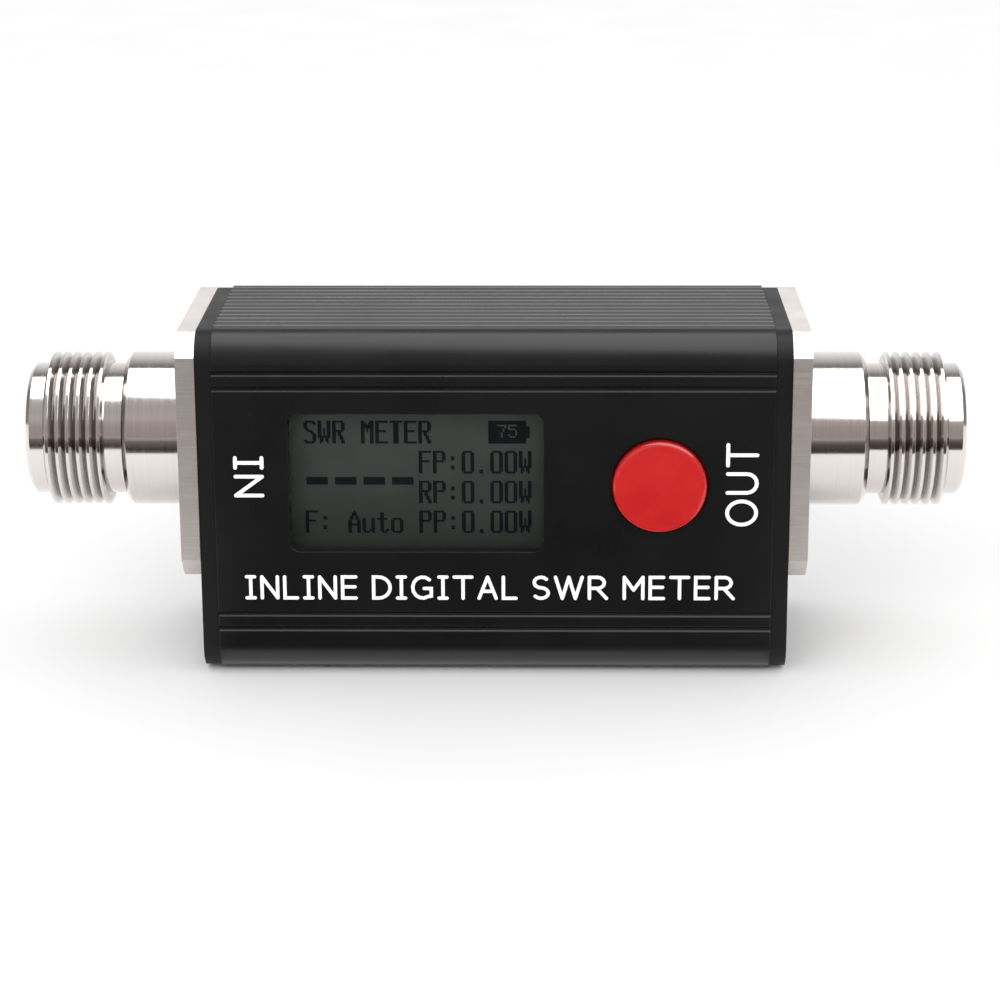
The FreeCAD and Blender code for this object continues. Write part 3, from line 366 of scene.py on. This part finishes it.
def clear_window():
    """Clear acrylic: what is behind shows through and the surface mirrors the room faintly."""
    material = bpy.data.materials.new("clear_window")
    material.use_nodes = True
    tree = material.node_tree
    tree.nodes.remove(tree.nodes["Principled BSDF"])
    through = add_node(material, "ShaderNodeBsdfTransparent")
    through.inputs["Color"].default_value = (0.93, 0.95, 0.94, 1)
    mirror = add_node(material, "ShaderNodeBsdfGlossy", {"Roughness": 0.03})
    smudge = grain(material, 3.0)
    link(material, spread_out(material, smudge, 0.02, 0.09), mirror.inputs["Roughness"])
    glancing = add_node(material, "ShaderNodeLayerWeight", {"Blend": 0.5})
    steepness = maths(material, "POWER", glancing.outputs["Facing"], 5)
    both = add_node(material, "ShaderNodeMixShader")
    link(material, fade(material, steepness, 0, 1, HEAD_ON_REFLECTION, 1.0), both.inputs["Fac"])
    link(material, through.outputs["BSDF"], both.inputs[1])
    link(material, mirror.outputs["BSDF"], both.inputs[2])
    link(material, both.outputs["Shader"], tree.nodes["Material Output"].inputs["Surface"])
    return material


def display_face():
    """The polariser: grey green, with painted shade that makes it darker towards its lower edge."""
    material = new_material("display_face", (0.052, 0.057, 0.052), 0.35, Specular_IOR_Level=0.3)
    low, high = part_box("display_polariser")
    # Painted shade: the face is darker towards its lower edge and lighter towards its top.
    painted_shade_rise = fade(material, coordinate(material, "Z"), low.z, high.z, 0.25, 0.62)
    clouds = spread_out(material, grain(material, 4.0), -0.06, 0.06)
    uneven = maths(material, "ADD", painted_shade_rise, clouds)
    vary_colour(material, uneven, (0.038, 0.0395, 0.0345), (0.065, 0.0735, 0.0675))
    vary_roughness(material, grain(material, 0.1), 0.3, 0.42)
    add_bump(material, grain(material, 0.1), 0.001)
    return material


def display_dark():
    """The driven dots of the display."""
    return finish("display_dark", (0.004, 0.0045, 0.009), 0.45, size=0.5, change=0.2, height=0.0005,
                  Specular_IOR_Level=0.12)


def display_shadow():
    """The shadow that the driven dots cast on the reflector behind them."""
    return finish("display_shadow", (0.018, 0.02, 0.028), 0.45, size=0.5, change=0.2, height=0.0005,
                  Specular_IOR_Level=0.2)


def display_glass():
    return finish("display_glass", (0.5, 0.58, 0.54), 0.08, size=6.0, change=0.03, rough_change=0.02,
                  height=0.0005, Transmission_Weight=0.6)


# ---------------------------------------------------------------- materials inside the case

def tape():
    return finish("tape", (0.03, 0.03, 0.03), 0.5, size=0.4, height=0.004)


def chip_black():
    return finish("chip_black", (0.02, 0.02, 0.021), 0.55, size=0.08, change=0.3, height=0.004)


def white_plastic():
    return finish("white_plastic", (0.8, 0.8, 0.76), 0.4, size=0.5, change=0.03, height=0.002)


def flex_film():
    return finish("flex_film", (0.62, 0.3, 0.06), 0.25, size=0.3, stretch=(1, 1, 12), change=0.15)


def circuit_board():
    return finish("circuit_board", (0.012, 0.12, 0.045), 0.3, size=0.5, change=0.25, height=0.006,
                  Coat_Weight=0.3)


def capacitor_brown():
    return finish("capacitor_brown", (0.33, 0.22, 0.13), 0.45, size=0.1, change=0.15)


def battery_foil():
    return finish("battery_foil", (0.56, 0.57, 0.59), 0.32, 0.9, size=1.6, change=0.08, height=0.03)


def foam():
    return finish("foam", (0.045, 0.045, 0.048), 0.9, size=0.25, change=0.35, height=0.06)


def red_wire():
    return finish("red_wire", (0.55, 0.015, 0.015), 0.45, size=0.4, height=0.003)


def black_wire():
    return finish("black_wire", (0.016, 0.016, 0.016), 0.45, size=0.4, height=0.003)


def copper():
    return finish("copper", (0.78, 0.38, 0.22), 0.3, 1.0, size=0.4, stretch=(12, 1, 1), height=0.002)


def dress_nodes():
    """Gives each CAD node the material of its slot in the record."""
    looks = {look.__name__: look() for look in (
        black_anodised, black_plate, red_button, nickel, gold_contact, screw_steel, black_screw,
        white_insulator, clear_window, display_face, display_glass, tape, chip_black, white_plastic,
        flex_film, circuit_board, capacitor_brown, battery_foil, foam, red_wire, black_wire, copper)}
    for subpart in frame["record"]["subparts"]:
        shown = frame["nodes"][subpart["node"]]
        look = looks[subpart["material_slot"]]
        if not shown.material_slots:
            shown.data.materials.append(look)
        for holder in shown.material_slots:
            holder.material = look


dress_nodes()


# ---------------------------------------------------------------- new pieces: building blocks

def add_piece(name, mesh, material):
    """A piece of the object that stays with the case."""
    piece = bpy.data.objects.new(name, mesh)
    scene.collection.objects.link(piece)
    mesh.materials.append(material)
    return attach(piece, "root")


def add_prism(solid, outline, low, high):
    """Adds to a bmesh a prism over a flat outline, whose points run counter-clockwise."""
    bottom = [solid.verts.new((x, y, low)) for x, y in outline]
    top = [solid.verts.new((x, y, high)) for x, y in outline]
    solid.faces.new(bottom[::-1])
    solid.faces.new(top)
    for here in range(len(outline)):
        after = (here + 1) % len(outline)
        solid.faces.new((bottom[here], bottom[after], top[after], top[here]))


def mesh_of(solid, name, placing):
    """The bmesh as a mesh, moved into the model's frame."""
    mesh = bpy.data.meshes.new(name)
    bmesh.ops.transform(solid, matrix=placing, verts=solid.verts)
    solid.to_mesh(mesh)
    solid.free()
    return mesh


def facing_front(along, upright, origin):
    """Turns drawings, x along and y up, onto a plane that faces the front."""
    along, upright = Vector(along), Vector(upright)
    turn = Matrix((along, upright, Vector((0, -1, 0)))).transposed().to_4x4()
    return Matrix.Translation(origin) @ turn


# ---------------------------------------------------------------- printed words

def arc(x, y, wide, high, start, end, steps=10):
    """Points on part of an ellipse, from one angle to another in degrees."""
    angles = [math.radians(start + (end - start) * step / steps) for step in range(steps + 1)]
    return [(x + wide * math.cos(angle), y + high * math.sin(angle)) for angle in angles]


# Each letter is its width and its strokes, for a height of 1.
LETTERS = {
    "A": (0.68, [[(0, 0), (0.34, 1)], [(0.34, 1), (0.68, 0)], [(0.12, 0.33), (0.56, 0.33)]]),
    "D": (0.66, [[(0.2, 0), (0, 0), (0, 1), (0.2, 1)] + arc(0.2, 0.5, 0.46, 0.5, 90, -90)[1:]]),
    "E": (0.53, [[(0.53, 1), (0, 1), (0, 0), (0.53, 0)], [(0, 0.53), (0.49, 0.53)]]),
    "G": (0.76, [arc(0.4, 0.5, 0.4, 0.5, 48, 302) + [(0.74, 0.1), (0.74, 0.46), (0.46, 0.46)]]),
    "I": (0.32, [[(0, 1), (0.32, 1)], [(0.16, 1), (0.16, 0)], [(0, 0), (0.32, 0)]]),
    "L": (0.5, [[(0, 1), (0, 0), (0.5, 0)]]),
    "M": (0.74, [[(0, 0), (0, 1)], [(0, 1), (0.37, 0.4)], [(0.37, 0.4), (0.74, 1)], [(0.74, 1), (0.74, 0)]]),
    "N": (0.62, [[(0, 0), (0, 1)], [(0, 1), (0.62, 0)], [(0.62, 0), (0.62, 1)]]),
    "O": (0.8, [arc(0.4, 0.5, 0.4, 0.5, 0, 360, 24)]),
    "R": (0.68, [[(0, 0), (0, 1)], [(0.3, 0.48), (0.68, 0)],
                 [(0, 1), (0.32, 1)] + arc(0.32, 0.74, 0.27, 0.26, 90, -90)[1:] + [(0, 0.48)]]),
    "S": (0.58, [arc(0.29, 0.75, 0.27, 0.25, 38, 270)
                 + arc(0.29, 0.25, 0.29, 0.25, 90, -142)[1:]]),
    "T": (0.7, [[(0, 1), (0.7, 1)], [(0.35, 1), (0.35, 0)]]),
    "U": (0.64, [[(0, 1)] + arc(0.32, 0.34, 0.32, 0.34, 180, 360) + [(0.64, 1)]]),
    "W": (1.06, [[(0, 1), (0.27, 0)], [(0.27, 0), (0.53, 1)],
                 [(0.53, 1), (0.79, 0)], [(0.79, 0), (1.06, 1)]]),
}
LETTER_GAP, WORD_GAP = 0.29, 0.42
# Each stroke of a letter lies a step over the one before, and its end discs a part of a step lower.
STROKE_STEP = 0.002 * MM
START_DISC_DROP, END_DISC_DROP = 0.4 * STROKE_STEP, 0.7 * STROKE_STEP
DISC_POINTS = 24


def disc(x, y, radius):
    """Points round a whole circle, with the first not repeated."""
    return arc(x, y, radius, radius, 0, 360 - 360 / DISC_POINTS, DISC_POINTS - 1)


def ribbon(points, width):
    """The outline of a stroke of even width, with mitred corners and square ends."""
    sides = ([], [])
    last = len(points) - 1
    for place, (x, y) in enumerate(points):
        before = Vector(points[place]) - Vector(points[max(place - 1, 0)])
        after = Vector(points[min(place + 1, last)]) - Vector(points[place])
        before = (before if before.length else after).normalized()
        after = (after if after.length else before).normalized()
        across = Vector((-(before.y + after.y), before.x + after.x)).normalized()
        reach = width / 2 / max(0.5, across.dot(Vector((-before.y, before.x))))
        sides[0].append((x + across.x * reach, y + across.y * reach))
        sides[1].append((x - across.x * reach, y - across.y * reach))
    return sides[0], sides[1]


def add_stroke(solid, points, width, low, high):
    """Adds to a bmesh one raised stroke, as a strip of four-sided pieces with a disc at each end."""
    for (x, y), drop in ((points[0], START_DISC_DROP), (points[-1], END_DISC_DROP)):
        add_prism(solid, disc(x, y, width / 2), low, high - drop)
    left, right = ribbon(points, width)
    rows = [[solid.verts.new((*flat, level)) for flat, level in
             ((a, low), (a, high), (b, high), (b, low))] for a, b in zip(left, right)]
    for here, after in zip(rows, rows[1:]):
        for corner in range(4):
            following = (corner + 1) % 4
            solid.faces.new((here[corner], here[following], after[following], after[corner]))
    solid.faces.new(rows[0][::-1])
    solid.faces.new(rows[-1])


def print_words(name, words, length, height, stroke, centre, along, upright):
    """Words in ink on the front of the case, fitted to a length and a height in metres."""
    ink, sunk = 0.012 * MM, 0.05 * MM
    width = -LETTER_GAP
    for letter in words:
        width += (WORD_GAP - LETTER_GAP if letter == " " else LETTERS[letter][0]) + LETTER_GAP
    wide, tall = (length - stroke) / width, height - stroke
    solid = bmesh.new()
    cursor = -width / 2
    for letter in words:
        if letter == " ":
            cursor += WORD_GAP
            continue
        letter_width, strokes = LETTERS[letter]
        for number, points in enumerate(strokes):
            placed = [((cursor + x) * wide, (y - 0.5) * tall) for x, y in points]
            add_stroke(solid, placed, stroke, -sunk, ink + number * STROKE_STEP)
        cursor += letter_width + LETTER_GAP
    bmesh.ops.recalc_face_normals(solid, faces=solid.faces)
    return add_piece(name, mesh_of(solid, name, facing_front(along, upright, centre)), ink_look)


case_low, case_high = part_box("case_tube")
ink_look = white_print()


def on_front(x, z):
    """A point of the case's front face, from millimetres."""
    return Vector((x * MM, case_low.y, z * MM))


RIGHTWARDS, UPWARDS, DOWNWARDS, LEFTWARDS = (1, 0, 0), (0, 0, 1), (0, 0, -1), (-1, 0, 0)
print_words("print_title", "INLINE DIGITAL SWR METER", 49.7 * MM, 2.6 * MM, 0.35 * MM,
            on_front(-0.45, 9.42), RIGHTWARDS, UPWARDS)
print_words("print_input", "IN", 4.3 * MM, 3.05 * MM, 0.38 * MM, on_front(-24.6, 21.1), DOWNWARDS, RIGHTWARDS)
print_words("print_output", "OUT", 8.7 * MM, 3.3 * MM, 0.38 * MM, on_front(24.9, 20.3), UPWARDS, LEFTWARDS)


# ---------------------------------------------------------------- the display's picture

# Each character is 7 dots wide and 12 high, rows from the top, with # for a dark dot.
CHARACTERS = {
    "S": ".#####./##...##/##...../##...../.##..../..###../....##./.....##/.....##/.....##/##...##/.#####.",
    "W": "##...##/##...##/##...##/##...##/##.#.##/##.#.##/##.#.##/##.#.##/#######/.##.##./.##.##./.#...#.",
    "R": "######./##...##/##...##/##...##/##...##/######./##.##../##.##../##..##./##..##./##...##/##...##",
    "M": "##...##/###.###/#######/#######/##.#.##/##.#.##/##...##/##...##/##...##/##...##/##...##/##...##",
    "E": "#######/##...../##...../##...../##...../######./##...../##...../##...../##...../##...../#######",
    "T": "#######/..###../..###../..###../..###../..###../..###../..###../..###../..###../..###../..###..",
    "F": "#######/##...../##...../##...../##...../######./##...../##...../##...../##...../##...../##.....",
    "P": "######./##...##/##...##/##...##/##...##/######./##...../##...../##...../##...../##...../##.....",
    "A": "...#.../..###../..###../.##.##./.##.##./##...##/##...##/#######/##...##/##...##/##...##/##...##",
    "0": ".#####./##...##/##...##/##...##/##...##/##...##/##...##/##...##/##...##/##...##/##...##/.#####.",
    "u": "......./......./......./......./##...##/##...##/##...##/##...##/##...##/##...##/##..###/.###.##",
    "t": "......./..##.../..##.../..##.../######./..##.../..##.../..##.../..##.../..##.../..##.##/...###.",
    "o": "......./......./......./......./.#####./##...##/##...##/##...##/##...##/##...##/##...##/.#####.",
    ":": "......./......./......./..##.../..##.../......./......./......./..##.../..##.../......./.......",
    ".": "......./......./......./......./......./......./......./......./......./......./..##.../..##...",
    " ": "",
}
SMALL_DIGITS = {
    "7": "#####/....#/...#./...#./..#../..#../..#..",
    "5": "#####/#..../####./....#/....#/#...#/.###.",
}
DOTS_ACROSS, DOTS_DOWN, CELL_WIDTH, CELL_HEIGHT = 128, 64, 8, 16


def picture():
    """The dark dots of the display as (column, row) pairs, rows counted from the top."""
    dark = set()

    def draw(rows, left, top):
        return {(left + column, top + line) for line, row in enumerate(rows.split("/"))
                for column, mark in enumerate(row) if mark == "#"}

    def write(words, column, line):
        for place, character in enumerate(words):
            dark.update(draw(CHARACTERS[character], (column + place) * CELL_WIDTH, line * CELL_HEIGHT + 2))

    def fill(left, top, wide, high):
        dark.update((left + column, top + line) for column in range(wide) for line in range(high))

    write("SWR METER", 0, 0)
    for line, label in enumerate(("FP:0.00W", "RP:0.00W", "PP:0.00W"), start=1):
        write(label, 8, line)
    write("F: Auto", 0, 3)
    for dash in range(4):
        fill(1 + dash * 2 * CELL_WIDTH, CELL_HEIGHT * 2, 12, 4)
    battery_left, battery_top, battery_width = 103, 2, 21
    fill(battery_left, battery_top, battery_width, 12)
    fill(battery_left + battery_width, battery_top + 3, 2, 6)
    for place, digit in enumerate("75"):
        dark.difference_update(draw(SMALL_DIGITS[digit], battery_left + 5 + place * 6, battery_top + 2))
    return dark


DOT_PITCH_X, DOT_PITCH_Z = 0.1812 * MM, 0.197 * MM
PICTURE_RIGHT, PICTURE_DOWN = 0.15 * MM, 0.14 * MM


def add_display_dots(name, gap, thickness, shift, look):
    """One thin tile for each dark dot, just in front of the polariser, the lot moved by a shift."""
    low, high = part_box("display_polariser")
    left = (low.x + high.x) / 2 + PICTURE_RIGHT - DOTS_ACROSS * DOT_PITCH_X / 2
    top = (low.z + high.z) / 2 - PICTURE_DOWN + DOTS_DOWN * DOT_PITCH_Z / 2
    wide, tall = DOT_PITCH_X - gap, DOT_PITCH_Z - gap
    solid = bmesh.new()
    for column, row in sorted(picture()):
        x, y = column * DOT_PITCH_X + shift[0], -(row + 1) * DOT_PITCH_Z + shift[1]
        add_prism(solid, [(x, y), (x + wide, y), (x + wide, y + tall), (x, y + tall)], 0, thickness)
    placing = facing_front(RIGHTWARDS, UPWARDS, Vector((left, low.y, top)))
    add_piece(name, mesh_of(solid, name, placing), look)


add_display_dots("display_dots", 0.012 * MM, 0.01 * MM, (0, 0), display_dark())
add_display_dots("display_dot_shadows", 0.02 * MM, 0.005 * MM, (0.05 * MM, -0.07 * MM), display_shadow())


# ---------------------------------------------------------------- studio

FLOOR_REACH, FLOOR_GAP = 3.0, 0.02 * MM


def add_floor():
    """A wide pale sheet under the object."""
    solid = bmesh.new()
    bmesh.ops.create_grid(solid, x_segments=8, y_segments=8, size=FLOOR_REACH)
    mesh = mesh_of(solid, "floor", Matrix.Translation((0, 0, CAD_BOX[0].z - FLOOR_GAP)))
    floor = bpy.data.objects.new("floor", mesh)
    scene.collection.objects.link(floor)
    look = new_material("floor", (0.9, 0.9, 0.9), 0.9, Specular_IOR_Level=0.0)
    vary_colour(look, grain(look, 30.0), (0.89, 0.89, 0.89), (0.91, 0.91, 0.91))
    mesh.materials.append(look)


FILL_PLACE, FILL_WIDTH, FILL_HEIGHT, FILL_POWER = Vector((-0.15, -0.7, 0.4)), 0.8, 0.6, 3.0


def add_front_fill():
    """A wide soft lamp in front and to the left, aimed at the object, which no mirror sees."""
    data = bpy.data.lights.new("front_fill", "AREA")
    data.shape = "RECTANGLE"
    data.size = FILL_WIDTH
    data.size_y = FILL_HEIGHT
    data.energy = FILL_POWER
    lamp = bpy.data.objects.new("front_fill", data)
    aim = (CAD_BOX[0] + CAD_BOX[1]) / 2 - FILL_PLACE
    lamp.location = FILL_PLACE
    lamp.rotation_euler = aim.to_track_quat("-Z", "Y").to_euler()
    lamp.visible_camera = False
    lamp.visible_glossy = False
    scene.collection.objects.link(lamp)


def add_card(name, outline, height, look):
    """A level card, its corners in metres, that only the object's mirror-like surfaces see."""
    solid = bmesh.new()
    solid.faces.new([solid.verts.new((x, y, height)) for x, y in outline])
    card = bpy.data.objects.new(name, mesh_of(solid, name, Matrix.Identity(4)))
    scene.collection.objects.link(card)
    card.data.materials.append(look)
    for sight in ("camera", "diffuse", "transmission", "volume_scatter", "shadow"):
        setattr(card, f"visible_{sight}", False)


def add_flag():
    """A dark card on the floor in front, which fades into the room further out."""
    far, faded, near, wide = -2.5, -0.42, -0.056, 0.6
    dark, pale = (0.03, 0.024, 0.02), (0.27, 0.24, 0.23)
    tip, tip_wide = case_low.y - 3 * MM, case_high.x + 1 * MM
    outline = ((-wide, far), (wide, far), (wide, near), (tip_wide + 6 * MM, near), (tip_wide, tip),
               (-tip_wide, tip), (-tip_wide - 6 * MM, near), (-wide, near))
    look = new_material("flag", dark, 0.9, Specular_IOR_Level=0.0)
    vary_colour(look, fade(look, coordinate(look, "Y"), near, faded, NOISE_LOW, NOISE_HIGH), dark, pale)
    add_card("flag", outline, 0.5 * MM, look)


def glow(name, strength):
    return new_material(name, (0, 0, 0), 1.0, Emission_Color=(1, 1, 1, 1), Emission_Strength=strength)


def add_overhead():
    """The long softbox over the object, which comes further forward on the output side."""
    height, strength = 0.55, 3.2
    outline = ((-0.35, 0.24), (-0.134, -0.25), (0.18, -1.0), (0.9, -1.0), (0.9, 0.24))
    add_card("overhead", outline, height, glow("overhead", strength))


def add_bounce():
    """A bright strip under the front edge, which shows in the rounding at the foot of the case."""
    front, back, wide = case_low.y - 2.5 * MM, case_low.y + 1.5 * MM, case_high.x
    height, strength = -0.01 * MM, 1.15
    outline = ((-wide, front), (wide, front), (wide, back), (-wide, back))
    add_card("bounce", outline, height, glow("bounce", strength))


# What mirrors see of the room: degrees from the horizon in front, over the top, to the one behind.
ROOM = ((0, (0.34, 0.30, 0.285)), (19, (0.375, 0.335, 0.32)), (31, (0.49, 0.445, 0.43)),
        (44, (0.42, 0.40, 0.385)), (60, (0.45, 0.44, 0.43)), (85, (0.3, 0.3, 0.3)), (122, (0.2, 0.2, 0.2)),
        (141, (0.63, 0.63, 0.63)), (162, (0.9, 0.9, 0.9)), (180, (1, 1, 1)))
TENT_STRENGTH = 1.05


def light_room():
    """An even white tent for soft light, and the room that mirrors see in its place."""
    world = bpy.data.worlds.new("studio")
    scene.world = world
    world.use_nodes = True
    nodes, links = world.node_tree.nodes, world.node_tree.links
    where = nodes.new("ShaderNodeTexCoord")
    apart = nodes.new("ShaderNodeSeparateXYZ")
    links.new(where.outputs["Generated"], apart.inputs["Vector"])
    behind = nodes.new("ShaderNodeMapRange")
    behind.inputs["From Min"].default_value = -1
    links.new(apart.outputs["Y"], behind.inputs["Value"])
    ramp = nodes.new("ShaderNodeValToRGB")
    links.new(behind.outputs["Result"], ramp.inputs["Fac"])
    stops = ramp.color_ramp.elements
    while len(stops) < len(ROOM):
        stops.new(0.5)
    for stop, (angle, colour) in zip(stops, ROOM):
        stop.position = (1 - math.cos(math.radians(angle))) / 2
        stop.color = (*colour, 1)
    mirrored = nodes["Background"]
    links.new(ramp.outputs["Color"], mirrored.inputs["Color"])
    tent = nodes.new("ShaderNodeBackground")
    tent.inputs["Color"].default_value = (1, 1, 1, 1)
    tent.inputs["Strength"].default_value = TENT_STRENGTH
    ray = nodes.new("ShaderNodeLightPath")
    either = nodes.new("ShaderNodeMixShader")
    links.new(ray.outputs["Is Glossy Ray"], either.inputs["Fac"])
    links.new(tent.outputs["Background"], either.inputs[1])
    links.new(mirrored.outputs["Background"], either.inputs[2])
    links.new(either.outputs["Shader"], nodes["World Output"].inputs["Surface"])


add_floor()
light_room()
add_flag()
add_overhead()
add_bounce()
add_front_fill()
